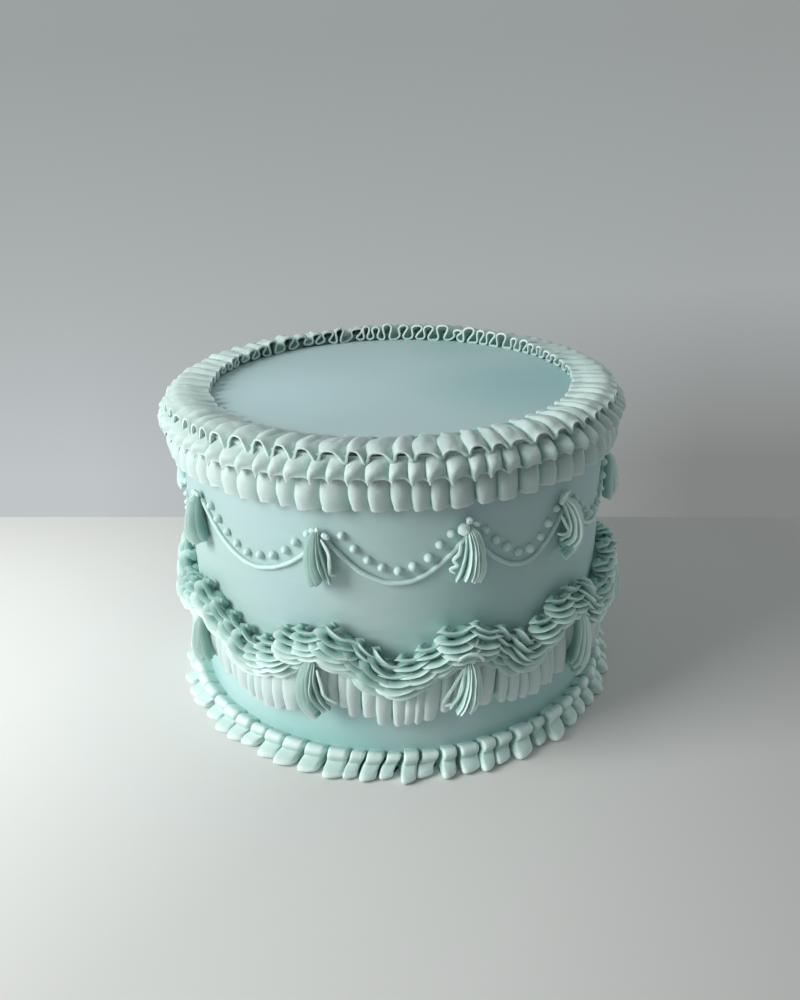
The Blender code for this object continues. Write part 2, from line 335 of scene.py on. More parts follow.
def coatIcing():
    # smoothed butter icing, deeper at the foot, with clouds and the drag marks of the scraper
    material, tree, shader = newMaterial("coatIcing")
    place = addNode(tree, "TexCoord", "Object", {})
    height = addNode(tree, "SeparateXYZ", "Z", {"Vector": place})
    upward = addNode(tree, "MapRange", "Result", {"Value": height, "From Min": 0.0, "From Max": cakeTop})
    stretched = addNode(tree, "Mapping", "Vector", {"Vector": place, "Scale": (1.0, 1.0, 2.2)})
    clouds = addNode(tree, "TexNoise", "Fac",
                     {"Vector": stretched, "Scale": coatLook["cloudScale"], "Detail": 2.5})
    level = drifted(tree, clouds, coatLook["cloudShare"], upward)
    colour = addRamp(tree, level, coatLook["upward"])
    for centre, radius, tint, share in coatLightAndTintPatches:
        # a patch round a point, most of them painted light and shade
        away = addNode(tree, "VectorMath", "Value", {0: place, 1: centre}, operation="DISTANCE")
        ragged = addNode(tree, "Math", "Value", {0: clouds, 1: -0.7 * radius, 2: away},
                         operation="MULTIPLY_ADD")
        span = {"Value": ragged, "From Min": radius * 0.75, "From Max": -radius * 0.25, "To Max": share}
        fade = addNode(tree, "MapRange", "Result", span, interpolation_type="SMOOTHSTEP")
        colour = addNode(tree, "MixRGB", "Color", {"Fac": fade, "Color1": colour, "Color2": (*tint, 1.0)})
    drag = addNode(tree, "Mapping", "Vector", {"Vector": place, "Scale": coatLook["dragScale"]})
    smears = addNode(tree, "TexNoise", "Fac", {"Vector": drag, "Scale": 1.0, "Detail": 4.0})
    finishIcing(tree, shader, colour, smears, coatLook)
    return material


# each icing's first colour is painted shade for its grooves, its last a painted highlight for its ridges
paleIcing = icing("paleIcing", (0.17, 0.39, 0.32), (0.49, 0.635, 0.605), (0.66, 0.77, 0.75))
greyIcing = icing("greyIcing", (0.24, 0.39, 0.35), (0.56, 0.70, 0.68), (0.67, 0.77, 0.76))
mintIcing = icing("mintIcing", (0.26, 0.48, 0.43), (0.54, 0.73, 0.69), (0.80, 0.94, 0.90))
stringIcing = icing("stringIcing", (0.38, 0.55, 0.53), (0.48, 0.65, 0.63), (0.60, 0.77, 0.75))


# the smooth coat

coat = {
    "around": 240,
    "sideRows": 44,
    "topRows": 22,
    "rimRows": 5,
    "waviness": 0.00025,    # how far the smoothed wall wanders
    "topWaviness": 0.0003,
}


def makeCoat():
    ease = cake["rimEase"]
    outline = [(wall, (cakeTop - ease) * row / coat["sideRows"]) for row in range(coat["sideRows"] + 1)]
    for row in range(1, coat["rimRows"] + 1):
        turn = math.pi / 2.0 * row / coat["rimRows"]
        outline.append((wall - ease + ease * math.cos(turn), cakeTop - ease + ease * math.sin(turn)))
    flat = wall - ease
    for row in range(1, coat["topRows"]):
        outline.append((flat * (1.0 - row / coat["topRows"]), cakeTop))

    piece = addPrimitive("coat", bpy.ops.mesh.primitive_circle_add, vertices=coat["around"], radius=wall,
                         fill_type="NGON")
    pickEdges(piece, lambda edge: True)
    for (beforeRadius, beforeHeight), (radius, height) in zip(outline, outline[1:]):
        bpy.ops.mesh.extrude_edges_move(TRANSFORM_OT_translate={"value": (0, 0, height - beforeHeight)})
        bpy.ops.transform.resize(value=(radius / beforeRadius, radius / beforeRadius, 1.0))
    bpy.ops.mesh.merge(type="CENTER")
    bpy.ops.object.mode_set(mode="OBJECT")
    makeConsistent(piece)
    for vertex in piece.data.vertices:
        point = vertex.co
        if point.z > 0.001 and math.hypot(point.x, point.y) > 0.001:
            away = Vector((point.x, point.y, 0.0)).normalized()
            rough = wobble(point.x * 22.0, point.y * 22.0, point.z * 40.0)
            if point.z < cakeTop - ease:
                vertex.co = point + away * rough * coat["waviness"]
            else:
                point.z += min(rough, 0.4) * coat["topWaviness"] - coat["topWaviness"] * 0.4
    print("coat done")
    return dress(piece, coatIcing(), "sage_icing", "cake")


# ruffles: a flat ribbon folded back and forth round the cake

def throughPoints(points, place, closed):
    # a smooth curve through the points; on a closed one the first number grows by one each time round
    count = len(points)
    index = math.floor(place)
    part = place - index

    def at(number):
        if not closed:
            return points[min(max(number, 0), count - 1)]
        turns, number = divmod(number, count)
        along, *rest = points[number]
        return (along + turns, *rest)

    return [0.5 * (2.0 * first + (second - before) * part
                   + (2.0 * before - 5.0 * first + 4.0 * second - after) * part ** 2
                   + (3.0 * first - before - 3.0 * second + after) * part ** 3)
            for before, first, second, after in zip(at(index - 1), at(index), at(index + 1), at(index + 2))]


def pleatAt(starts, place, closed):
    # the bearing of a place that is counted in pleats
    pleats = len(starts) - 1
    turns = 0
    if closed:
        turns, place = divmod(place, pleats)
    index = min(max(math.floor(place), 0), pleats - 1)
    return starts[index] + (starts[index + 1] - starts[index]) * (place - index) + 360.0 * turns


def between(values, place):
    # each pleat has its own value, which passes into the next pleat's near their seam
    index = math.floor(place - 0.5)
    share = softStep(place - 0.5 - index, 0.3, 0.7)
    return blendOf(share, values[index % len(values)], values[(index + 1) % len(values)])


def variety(count, seed):
    # how deep each pleat is and how it curls
    draw = random.Random(seed)
    return [draw.uniform(0.75, 1.2) for _ in range(count)], [draw.uniform(-1.0, 1.0) for _ in range(count)]


def foldedRibbon(name, look, starts, closed, fold):
    # fold(pleat, share, row) gives the place in pleats, radius, height, extra bearing, level of painted
    # light and weight
    pleats = len(starts) - 1
    steps = look["steps"]
    rows = look["rows"]
    columns = pleats * steps
    piece = addGrid(name, columns, rows)
    paintedLights = []
    thick = piece.vertex_groups.new(name="thick")
    for vertex in piece.data.vertices:
        column = round((vertex.co.x + 0.5) * columns)
        row = round((vertex.co.y + 0.5) * rows)
        pleat = min(column // steps, pleats - 1)
        share = column / steps - pleat
        if closed:
            pleat = (column // steps) % pleats
            share = (column % steps) / steps
        place, radius, height, lean, paintedLight, weight = fold(pleat, share, row / rows)
        bearing = pleatAt(starts, place, closed) + lean
        point = spot(bearing, radius, height)
        uneven = look["crinkle"] * (noise.noise(point * 240.0) + 0.4 * noise.noise(point * 900.0))
        vertex.co = spot(bearing, radius + uneven, height + uneven)
        paintedLights.append(paintedLight)
        thick.add([vertex.index], weight, "REPLACE")
    paintLightLevels(piece, paintedLights)
    if closed:
        weld(piece)
    outward = sum(polygon.normal.dot(Vector((polygon.center.x, polygon.center.y, 0.08)))
                  for polygon in piece.data.polygons)
    if outward < 0.0:
        editAll(piece, bpy.ops.mesh.flip_normals)
    useModifier(piece, "SOLIDIFY", thickness=look["thickness"], offset=0.0, vertex_group="thick",
                thickness_vertex_group=look["thinnest"])
    useModifier(piece, "BEVEL", width=look["thickness"] * look["thinnest"] * 0.4, segments=2,
                limit_method="ANGLE", angle_limit=math.radians(62.0), harden_normals=False)
    return piece


def sweptRing(name, columns, corners, shape):
    # shape(station, corner) gives the bearing, radius, height and level of painted light of a closed ring's
    # points
    piece = addGrid(name, columns, corners)
    paintedLights = []
    for vertex in piece.data.vertices:
        station = round((vertex.co.x + 0.5) * columns)
        corner = round((vertex.co.y + 0.5) * corners) % corners
        bearing, radius, height, paintedLight = shape(station, corner)
        vertex.co = spot(bearing, radius, height)
        paintedLights.append(paintedLight)
    paintLightLevels(piece, paintedLights)
    weld(piece)
    makeConsistent(piece)
    return piece


topRuffle = {
    "pleats": 70,
    "spread": 0.3,              # how uneven the pleats are
    "seed": 21,
    "steps": 28,
    "rows": 16,
    "thickness": 0.0011,
    "thinnest": 0.5,
    "crinkle": 0.00028,
    "lip": 0.0889,              # radius of its two edges
    "inner": 0.0722,
    "riseFront": 0.0019,
    "riseBack": 0.0078,
    "innerRise": 0.0017,
    "lean": 2.5,
    "lipSwing": 0.0013,         # half the height of the lip's arches, and how much more it is at the left
    "lipSwingLeft": 0.0012,
    "rollMiddle": 0.0014,
    "rollSwing": 0.0014,
    "flatRight": 0.45,          # how much flatter its folds lie at the right
    "ripple": 0.00016,
}
# one pleat of the lip and of the roll behind it: place along it and height, both as shares
lipFold = ((0.00, 0.00), (0.07, 0.20), (0.12, 0.66), (0.24, 0.95),
           (0.42, 1.00), (0.60, 0.90), (0.76, 0.52), (0.88, 0.09))
rollFold = ((0.04, 0.00), (-0.05, 0.36), (-0.02, 0.80), (0.17, 1.03),
            (0.42, 0.97), (0.66, 0.76), (0.89, 0.46), (1.01, 0.14))
# the icing under the ruffle, which closes its folds: radius, height as a share and level of painted light,
# kept low for painted shade in the recess under the lip
ruffleBed = {
    "columns": 180,
    "corners": ((0.0872, -0.0016, 0.40), (0.0876, 0.30, 0.40), (0.0868, 0.80, 0.40), (0.0840, 0.95, 0.40),
                (0.0800, 0.90, 0.45), (0.0768, 0.60, 0.40), (0.0768, -0.0004, 0.30)),
    "topFront": -0.0004,
    "topBack": 0.0040,
    "topLeft": 0.0004,
    "paintedLightLeft": 0.35,
}


def makeTopRuffle():
    look = topRuffle
    starts = unevenSteps(look["pleats"], 360.0, look["spread"], look["seed"])
    depths, curls = variety(look["pleats"], look["seed"] + 1)
    draw = random.Random(look["seed"] + 2)
    pinches = [max(draw.uniform(-0.7, 1.0), 0.0) for _ in depths]
    loops = [draw.uniform(-0.4, 1.0) for _ in depths]

    def fold(pleat, share, row):
        # row 0 is the lip, row 1 the inner edge, which stands up in loops at the back
        start = starts[pleat]
        behind = backShare(start)
        rise = blendOf(behind, look["riseFront"], look["riseBack"])
        innerRise = blendOf(behind * behind, look["innerRise"], rise)
        atRight = softStep(start, 25.0, 50.0) * (1.0 - softStep(start, 120.0, 160.0))
        flatter = 1.0 - look["flatRight"] * atRight
        overRim = softStep(row, 0.0, 0.30)
        inward = softStep(row, 0.45, 1.0)
        depth = between(depths, pleat + share)
        curl = between(curls, pleat + share)
        loopy = between(loops, pleat + share)
        pinch = between(pinches, pleat + share)

        lipAlong, lipHeight = throughPoints(lipFold, share * len(lipFold), True)
        rollAlong, rollHeight = throughPoints(rollFold, share * len(rollFold), True)
        along = blendOf(overRim, lipAlong, rollAlong)
        swell = blendOf(overRim, lipHeight, rollHeight)
        wave = 0.5 - 0.5 * math.cos(math.tau * share)
        loop = blendOf(behind, 0.03, 0.18 + 0.06 * loopy)
        endAlong = share + 0.02 + 0.10 * behind * (curl - 0.3)
        endAlong -= blendOf(behind, 0.30, 0.04 + 0.40 * max(loopy, 0.0)) * wave
        endAlong += loop * math.sin(2.0 * math.tau * share)
        along = blendOf(inward, along, endAlong)
        swell = blendOf(inward, swell, wave)
        second = math.exp(-((share - 0.90) / 0.055) ** 2) * pinch * softStep(row, 0.02, 0.2)
        crease = math.exp(-((share - 0.60 - 0.08 * curl) / 0.05) ** 2) * softStep(row, 0.10, 0.35)
        swell += (0.42 * second - 0.20 * crease * (1.0 - pinch)) * (1.0 - inward)

        middle = blendOf(overRim, 0.0000, look["rollMiddle"] + 0.22 * (rise - 0.0018))
        middle = blendOf(inward, middle, innerRise * 0.5 - 0.0001)
        lipSwing = look["lipSwing"] + look["lipSwingLeft"] * leftShare(start)
        swing = blendOf(overRim, lipSwing, (look["rollSwing"] + 0.08 * (rise - 0.0018)) * flatter)
        swing = blendOf(inward, swing, (innerRise * 0.5 - 0.0004) * (1.0 + 0.34 * behind * curl))
        rolls = math.sin(math.pi * row)
        ripple = look["ripple"] * rolls * math.sin(math.tau * (3.0 * share + 0.5 * curl))
        radius = blendOf(row, look["lip"], look["inner"])
        radius += 0.0006 * (1.0 - swell) * (1.0 - overRim) + 0.0004 * curl * (1.0 - row)
        radius -= 0.0007 * inward * behind * curl
        height = cakeTop + middle + swing * depth * (2.0 * swell - 1.0) + ripple
        if row > 0.25:
            height = max(height, cakeTop + 0.0004)
        # painted light: pale on the raised folds, a painted highlight along the lip and the inner edge,
        # painted shade in the hollows behind
        paintedLight = 0.15 + 0.55 * min(swell, 1.0) + 0.30 * (1.0 - softStep(row, 0.0, 0.08))
        paintedLight += 0.45 * softStep(row, 0.95, 1.0) - 0.15 * softStep(row, 0.70, 0.92)
        lean = look["lean"] * row ** 1.4 + 0.35 * curl * rolls
        weight = max(softStep(row, 0.0, 0.3) * (1.0 - 0.55 * inward), 0.9 * (1.0 - swell) * (1.0 - overRim))
        return pleat + along, radius, height, lean, paintedLight, weight

    piece = foldedRibbon("topRuffle", look, starts, True, fold)
    print("top ruffle done")
    return dress(piece, paleIcing, "pale_icing", "top_ruffle")


def makeRuffleBed():
    def shape(station, corner):
        bearing = 360.0 * station / ruffleBed["columns"]
        radius, tall, paintedLight = ruffleBed["corners"][corner]
        top = blendOf(backShare(bearing), ruffleBed["topFront"], ruffleBed["topBack"])
        top += ruffleBed["topLeft"] * leftShare(bearing)
        height = cakeTop + (tall * top if tall > 0.0 else tall)
        # painted light: paler at the left, where the light falls
        return bearing, radius, height, paintedLight + ruffleBed["paintedLightLeft"] * leftShare(bearing)

    piece = sweptRing("ruffleBed", ruffleBed["columns"], len(ruffleBed["corners"]), shape)
    return dress(piece, paleIcing, "pale_icing", "top_ruffle")


def hangingPanel(look, pleat, share, row, depth, bearing):
    # a panel of a side ruffle: place in pleats, distance off the wall, how far the hem hangs, level of
    # painted light, weight
    place = share * len(look["middle"])
    inside = throughPoints(look["middle"], place, True)
    edge = throughPoints(look["hemLine"], place, True)
    onRight = softStep(bearing, 16.0, 40.0) * (1.0 - softStep(bearing, 200.0, 240.0))
    turned = throughPoints(look["right"], place, True)
    along, swell, drop = mixed(onRight, mixed(softStep(row, 0.45, 1.0), inside, edge), turned)
    flare = math.sin(math.pi / 2.0 * min(row / look["fullAt"], 1.0))
    crest = blendOf(flare, look["crestTop"], look["crest"]) * (0.75 + 0.25 * depth)
    crest -= look["curlIn"] * softStep(row, 0.7, 1.0)
    trough = blendOf(row ** look["troughEase"], look["troughTop"], look["trough"])
    # painted light: pale on the crests, painted shade in the troughs, and a painted highlight along the hem
    paintedLight = 0.10 + 0.62 * min(swell, 1.0) + 0.30 * softStep(row, 0.94, 1.0)
    return pleat + along, blendOf(swell, trough, crest), drop, paintedLight, 1.0 - softStep(row, 0.65, 1.0)


# how a pleat folds: place along it, how far it stands out and how far its hem hangs, as shares, at half
# height, along the hem, and beyond the right end of the front, where the pleats lie the other way
upperRuffle = {
    "pleats": 82,
    "spread": 0.22,
    "seed": 31,
    "steps": 24,
    "rows": 12,
    "thickness": 0.0010,
    "thinnest": 0.5,
    "crinkle": 0.00026,
    "top": cakeTop - 0.0010,
    "hem": cakeTop - 0.0068,
    "tips": 0.0021,           # how far the tips hang below the arches
    "tipsVary": 0.5,
    "torn": 0.0,
    "hemCurl": -0.0004,
    "bow": 0.40,              # degrees that a pleat bows, curls and leans aside
    "curlAside": 0.30,
    "aside": 0.0,
    "fullAt": 0.62,
    "crestTop": 0.0014,
    "crest": 0.0068,
    "curlIn": 0.0004,
    "troughTop": 0.0012,
    "trough": 0.0052,
    "troughEase": 2.0,
    "middle": ((0.09, 0.00, 0.50), (0.02, 0.30, 0.90), (-0.03, 0.72, 1.00), (0.06, 0.97, 0.55),
               (0.27, 1.00, 0.08), (0.54, 0.80, 0.00), (0.80, 0.48, 0.10), (1.01, 0.12, 0.25)),
    "hemLine": ((-0.13, 0.44, 0.50), (-0.05, 0.74, 0.86), (0.00, 0.98, 1.00), (0.06, 0.98, 0.66),
                (0.20, 0.84, 0.08), (0.44, 0.62, 0.00), (0.66, 0.42, 0.02), (0.78, 0.34, 0.20)),
    "right": ((0.09, -0.70, 0.30), (0.16, -0.65, 0.20), (0.27, -0.35, 0.10), (0.46, 0.15, 0.10),
              (0.70, 0.66, 0.22), (0.93, 1.05, 0.55), (1.02, 1.02, 0.70), (1.06, 0.00, 0.50)),
}
lowerRuffle = {
    "pleats": 76,
    "spread": 0.24,
    "seed": 41,
    "steps": 20,
    "rows": 10,
    "thickness": 0.0012,
    "thinnest": 0.6,
    "crinkle": 0.00026,
    "top": cakeTop - 0.0066,
    "hem": cakeTop - 0.0168,
    "tips": 0.0015,
    "tipsVary": 0.0,
    "torn": 0.0004,
    "hemCurl": 0.0006,
    "bow": 0.30,
    "curlAside": 0.45,
    "aside": 0.25,
    "fullAt": 0.7,
    "crestTop": 0.0022,
    "crest": 0.0047,
    "curlIn": 0.0003,
    "troughTop": 0.0008,
    "trough": 0.0010,
    "troughEase": 1.0,
    "middle": ((0.08, 0.00, 0.40), (0.00, 0.32, 0.30), (-0.04, 0.74, 0.45), (0.05, 0.98, 0.85),
               (0.28, 1.00, 1.00), (0.56, 0.80, 0.96), (0.80, 0.46, 0.90), (0.99, 0.10, 0.75)),
    "hemLine": ((0.06, 0.00, 0.40), (-0.01, 0.34, 0.30), (-0.02, 0.78, 0.50), (0.07, 0.98, 0.95),
                (0.28, 0.98, 1.00), (0.54, 0.80, 0.97), (0.78, 0.50, 0.92), (0.96, 0.14, 0.75)),
    "right": ((0.09, 0.05, 0.60), (0.16, 0.06, 0.75), (0.27, 0.24, 0.90), (0.46, 0.52, 0.95),
              (0.70, 0.80, 1.00), (0.93, 1.05, 1.00), (1.02, 1.02, 0.90), (1.06, 0.10, 0.65)),
}


def hangingRuffle(name, look, starts, closed, seed, hang):
    # hang(start, share, row, drop, depth, curl) gives the heights of its top and hem there and the lean
    depths, curls = variety(len(starts) - 1, seed)

    def fold(pleat, share, row):
        start = starts[pleat]
        depth = between(depths, pleat + share)
        curl = between(curls, pleat + share)
        place, out, drop, paintedLight, weight = hangingPanel(look, pleat, share, row, depth, start % 360.0)
        top, hem, lean = hang(start, share, row, drop, depth, curl)
        return place, wall + out, blendOf(row, top, hem), lean, paintedLight, weight

    return foldedRibbon(name, look, starts, closed, fold)


def makeSideRuffle(name, look, node):
    starts = unevenSteps(look["pleats"], 360.0, look["spread"], look["seed"])

    def hang(start, share, row, drop, depth, curl):
        torn = wobble(start * 3.0 + share * 9.0, 0.0, 4.0) * look["torn"]
        tips = look["tips"] * drop * (1.0 - look["tipsVary"] + look["tipsVary"] * depth)
        lean = (look["curlAside"] * curl - look["aside"]) * row - look["bow"] * math.sin(math.pi * row)
        return look["top"], look["hem"] - tips + torn + look["hemCurl"] * curl, lean

    piece = hangingRuffle(name, look, starts, True, look["seed"] + 1, hang)
    print(name, "done")
    return dress(piece, paleIcing, "pale_icing", node)


garland = {
    "tie": 0.0540,            # height of the line of shells at the ties and in the middle
    "low": 0.0408,
    "shellPitch": 0.0084,
    "shellSpread": 0.14,
    "margin": 0.25,           # degrees kept free at the ties
    "seed": 60,
    # how far the shells follow a swag: rising at the middle of the front and elsewhere, and falling
    "riseTilt": (0.60, 0.25),
    "fallTilt": 0.85,
    "tiltStray": 0.16,
    "heightStray": 0.0008,
    "outStray": 0.0004,
    "sizes": (0.92, 1.07),
}
skirt = {
    "tie": 0.0298,            # height of its hem at the ties and in the middle
    "low": 0.0216,
    "below": 0.0030,          # how far under the line of the shells it starts
    "margin": 0.2,
    "seed": 80,
    "pleat": 0.0045,
    "spread": 0.40,
    "steps": 16,
    "rows": 9,
    "thickness": 0.0012,
    "thinnest": 0.6,
    "crinkle": 0.00022,
    "tips": 0.0019,
    "torn": 0.0004,
    "hemCurl": 0.0011,
    # degrees that a pleat bows, curls and leans aside, the last at the middle of the front and elsewhere
    "bow": 0.35,
    "curlAside": 0.45,
    "aside": (1.7, 0.3),
    "fullAt": 0.8,
    "crestTop": 0.0022,
    "crest": 0.0046,
    "curlIn": 0.0004,
    "troughTop": 0.0004,
    "trough": 0.0002,
    "troughEase": 1.0,
    "middle": ((0.07, 0.00, 0.10), (0.00, 0.38, 0.15), (-0.03, 0.80, 0.45), (0.07, 1.00, 0.88),
               (0.30, 0.99, 1.00), (0.58, 0.88, 0.98), (0.84, 0.68, 0.80), (1.00, 0.30, 0.38)),
    "hemLine": ((0.07, 0.00, 0.10), (0.01, 0.38, 0.15), (0.00, 0.80, 0.45), (0.10, 1.00, 0.88),
                (0.32, 0.99, 1.00), (0.56, 0.90, 0.98), (0.80, 0.66, 0.84), (0.94, 0.28, 0.38)),
    "right": ((0.08, 0.10, 0.70), (0.14, 0.14, 0.80), (0.27, 0.42, 0.92), (0.46, 0.70, 0.97),
              (0.72, 0.92, 1.00), (0.92, 1.05, 0.98), (1.01, 0.98, 0.90), (1.05, 0.10, 0.75)),
}


def garlandHeight(bearing, left, right):
    share = min(fromMiddle(bearing, left, right), 1.0)
    return garland["low"] + (garland["tie"] - garland["low"]) * math.sin(math.pi / 2.0 * share ** 1.3)


def makeSkirt(number, left, right):
    pleats = round(math.radians(right - left) * wall / skirt["pleat"])
    span = right - left - 2.0 * skirt["margin"]
    steps = unevenSteps(pleats, span, skirt["spread"], skirt["seed"] + number)
    starts = [left + skirt["margin"] + step for step in steps]

    def hang(start, share, row, drop, depth, curl):
        level = min(fromMiddle(start, left, right), 1.0)
        torn = wobble(start * 4.0 + share * 8.0, 0.0, 7.0) * skirt["torn"]
        hem = skirt["low"] + (skirt["tie"] - skirt["low"]) * level ** 1.3
        hem += skirt["tips"] * (0.6 - drop) + torn + skirt["hemCurl"] * curl
        aside = blendOf(softStep(start % 360.0, 14.0, 30.0), *skirt["aside"])
        lean = (skirt["curlAside"] * curl - aside) * row + skirt["bow"] * curl * math.sin(math.pi * row)
        return garlandHeight(start, left, right) - skirt["below"], hem, lean

    name = "garlandRuffle%02d" % number
    piece = hangingRuffle(name, skirt, starts, False, skirt["seed"] + 100 + number, hang)
    return dress(piece, greyIcing, "grey_mint_icing", "garland_ruffle_%02d" % number)


# piping: tubes and sharp ribs of icing, shaped from plain cylinders and bent round the wall

# corners round a tube and stations along it: of ribs, and of cores, knots and threads
ribCounts = (12, 22)
plainCounts = (10, 20)


def blankTube(around, stations):
    # a plain cylinder cut into stations, modelled once for each pair of counts and copied
    piece = addPrimitive("tube", bpy.ops.mesh.primitive_cylinder_add, vertices=around, radius=0.5, depth=1.0,
                         end_fill_type="TRIFAN")

    def standing(edge):
        low, high = sorted(piece.data.vertices[number].co.z for number in edge.vertices)
        return high - low > 0.5

    pickEdges(piece, standing)
    bpy.ops.mesh.subdivide(number_cuts=stations - 2)
    bpy.ops.object.mode_set(mode="OBJECT")
    piece["around"] = around
    piece["stations"] = stations
    return piece


def shapeTube(blank, path, outline, level=None):
    # path(share) is the centre line, x along the wall, y up and z off the wall; outline(share, turn)
    # gives how far out and aside of it a point lies and its level of painted light, with turn None at the
    # two ends;
    # level is the direction that the tube's width keeps to
    around = blank["around"]
    stations = blank["stations"]
    frames = []
    for station in range(stations):
        share = station / (stations - 1)
        ahead = (path(min(share + 0.02, 1.0)) - path(max(share - 0.02, 0.0))).normalized()
        if level:
            outward = ahead.cross(level).normalized()
            frames.append((path(share), outward, outward.cross(ahead)))
        else:
            aside = ahead.cross(Vector((0.0, 0.0, 1.0))).normalized()
            frames.append((path(share), aside.cross(ahead), aside))
    piece = copyOf(blank)
    paintedLights = []
    for vertex in piece.data.vertices:
        station = round((vertex.co.z + 0.5) * (stations - 1))
        if math.hypot(vertex.co.x, vertex.co.y) < 0.1:
            turn = None
        else:
            corner = round((math.atan2(vertex.co.y, vertex.co.x) % math.tau) / math.tau * around) % around
            turn = math.tau * corner / around
        middle, outward, sideways = frames[station]
        out, aside, paintedLight = outline(station / (stations - 1), turn)
        vertex.co = middle + outward * out + sideways * aside
        paintedLights.append(paintedLight)
    paintLightLevels(piece, paintedLights)
    return piece


def roundTube(blank, path, sizeAt, paintedLight, outerHighlight, endPaintedLight):
    # a tube whose section is nearly round, with painted light: paler on its outer side, away from the wall
    def outline(share, turn):
        if turn is None:
            return 0.0, 0.0, endPaintedLight
        size = sizeAt(share, turn)
        return size * math.cos(turn), size * math.sin(turn), paintedLight + outerHighlight * math.cos(turn)

    return shapeTube(blank, path, outline)


def pathThrough(points):
    # a centre line through points in millimetres
    way = [Vector(point) * 0.001 for point in points]

    def path(share):
        return Vector(throughPoints(way, share * (len(way) - 1), False))

    return path


def pulledCurve(points, share):
    # a smooth curve from the first to the last point, pulled by the two between
    rest = 1.0 - share
    place = points[0] * rest ** 3 + points[1] * (3.0 * rest * rest * share)
    return place + points[2] * (3.0 * rest * share ** 2) + points[3] * share ** 3


def wallSpot(across, up, out):
    # a point unrolled on the wall: metres along it from the front, height, distance off it
    return spot(math.degrees(across / wall), wall + out, up)


def bendOnWall(piece, bearing, height, out=0.0, tilt=0.0, size=1.0):
    start = math.radians(bearing) * wall
    for vertex in piece.data.vertices:
        across = (vertex.co.x * math.cos(tilt) - vertex.co.y * math.sin(tilt)) * size
        up = (vertex.co.x * math.sin(tilt) + vertex.co.y * math.cos(tilt)) * size
        vertex.co = wallSpot(start + across, height + up, max(out + vertex.co.z * size, -0.001))


def rib(blank, points, level, look, draw, seed):
    # one sharp ridge of icing along points in millimetres, broad at its foot and thin at its crest
    high = look["ribHigh"] * draw.uniform(0.85, 1.15)
    half = look["ribHalf"]
    sway = random.Random(seed).uniform(0.0, 50.0)

    def outline(share, turn):
        if turn is None:
            return 0.0, 0.0, 0.5
        taper = 1.0 - look["ribTip"] * softStep(share, 0.82, 1.0)
        size = (0.06 + 0.94 * min(share / 0.16, 1.0) ** 0.7) * taper
        size *= 1.0 + 0.16 * wobble(share * 5.0, sway, 0.0)
        slim = (0.5 - 0.5 * math.cos(turn)) ** 0.85
        lean = 0.25 * half * wobble(share * 4.0, sway, 7.0) * max(math.cos(turn), 0.0)
        # painted highlight on the crest, painted shade at the foot
        crest = 0.05 + 0.95 * max(math.cos(turn), 0.0) ** 1.4
        return high * size * math.cos(turn), 1.55 * half * size * math.sin(turn) * slim + lean, crest

    return shapeTube(blank, pathThrough(points), outline, level)


def thread(blank, points, radius, seed):
    # one thin thread of icing along points in millimetres
    sway = random.Random(seed).uniform(0.0, 50.0)

    def sizeAt(share, turn):
        size = radius * math.sqrt(max(0.0, 1.0 - abs(2.0 * share - 1.0) ** 5))
        return size * (1.0 + 0.22 * wobble(share * 7.0, turn, sway))

    return roundTube(blank, pathThrough(points), sizeAt, 0.55, 0.35, 0.8)


def knot(blank, place, seed):
    # a small knot: place along, up and off the wall, half length and width, all in millimetres, and tilt
    across, up, out, length, width, tilt = place
    run = Vector((math.cos(math.radians(tilt)), math.sin(math.radians(tilt)), 0.05)) * length
    middle = Vector((across, up, out))
    sway = random.Random(seed).uniform(0.0, 50.0)

    def path(share):
        return (middle + run * (2.0 * share - 1.0)) * 0.001

    def sizeAt(share, turn):
        size = width * 0.001 * math.sqrt(max(0.0, 1.0 - abs(2.0 * share - 1.0) ** 2.6))
        side = math.sin(turn) * 1.2 + sway
        return size * (1.0 + 0.30 * wobble(share * 3.0, math.cos(turn) * 1.2, side))

    return roundTube(blank, path, sizeAt, 0.62, 0.25, 0.7)


# strings of icing and rows of beads above them

strings = {
    "tie": 0.0940,          # height at the ties and in the middle
    "low": 0.0773,
    "radius": 0.00088,
    "around": 12,
    "stations": 44,
    "past": 0.4,            # degrees that a string runs on past its ties
    "seed": 71,
}
beads = {
    "offsets": (0.0045, 0.0050, 0.0047),    # how far above the string, swag by swag
    "pitch": 0.0059,
    "stop": 4.0,
    "radius": 0.00165,
    "sizes": (0.88, 1.08),  # smallest and largest, times that radius
    "stray": 0.0004,
    "tip": 14,              # degrees that a bead's tip leans at most
    "seed": 11,
}


def stringHeight(bearing, left, right):
    share = fromMiddle(bearing, left, right)
    return strings["low"] + (strings["tie"] - strings["low"]) * share ** 1.9


def shapeString(blank, left, right, sway):
    start = left - strings["past"]
    span = right - left + 2.0 * strings["past"]

    def path(share):
        bearing = start + span * share
        height = stringHeight(bearing, left, right)
        height += 0.0003 * wobble(bearing * 0.3, sway, 0.0)
        return Vector((math.radians(bearing) * wall, height, strings["radius"] * 0.55))

    def sizeAt(share, turn):
        return strings["radius"] * (1.0 + 0.14 * wobble(share * 18.0, sway, 5.0))

    piece = roundTube(blank, path, sizeAt, 0.45, 0.4, 0.6)
    bendOnWall(piece, 0.0, 0.0)
    return piece


def makeStrings(ties):
    blank = blankTube(strings["around"], strings["stations"])
    draw = random.Random(strings["seed"])
    pieces = [shapeString(blank, left, right, draw.uniform(0.0, 9.0)) for left, right in zip(ties, ties[1:])]
    bpy.data.objects.remove(blank)
    piece = joinAll("stringSwags", pieces)
    makeConsistent(piece)
    print("strings done")
    return dress(piece, stringIcing, "mint_icing", "cake")


